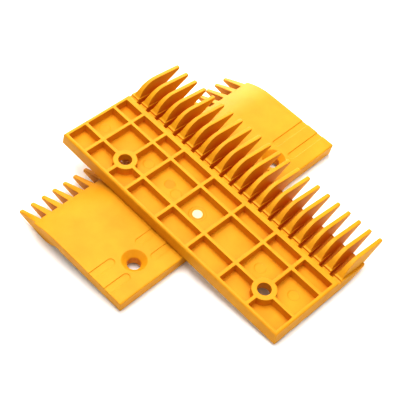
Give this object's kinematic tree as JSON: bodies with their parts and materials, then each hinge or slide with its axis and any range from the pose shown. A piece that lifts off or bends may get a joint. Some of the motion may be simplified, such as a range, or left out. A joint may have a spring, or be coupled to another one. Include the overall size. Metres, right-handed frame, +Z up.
{
  "type": "escalator comb plate",
  "caption": "Moulded escalator comb plate with curved teeth, countersunk fixing holes and a ribbed underside, as two like plates laid across each other, one underside up.",
  "frame": {"origin": "middle of the pair seen from above, on the surface it lies on", "axes": "+Z up from the surface, +X along the lower plate's back edge, +Y towards the lower plate's teeth"},
  "size_m": [0.1994, 0.1997, 0.0406],
  "materials": {
    "comb_plastic": "satin, as moulded"
  },
  "bodies": {
    "lower_plate": {"lower_comb_plate": "comb_plastic"},
    "upper_plate": {"upper_comb_plate": "comb_plastic"}
  },
  "joints": [
    {"name": "upper_plate_lift", "type": "slide", "parent": "lower_plate", "child": "upper_plate", "axis": [0, 0, 1], "range_m": [0, 0.12]}
  ]
}
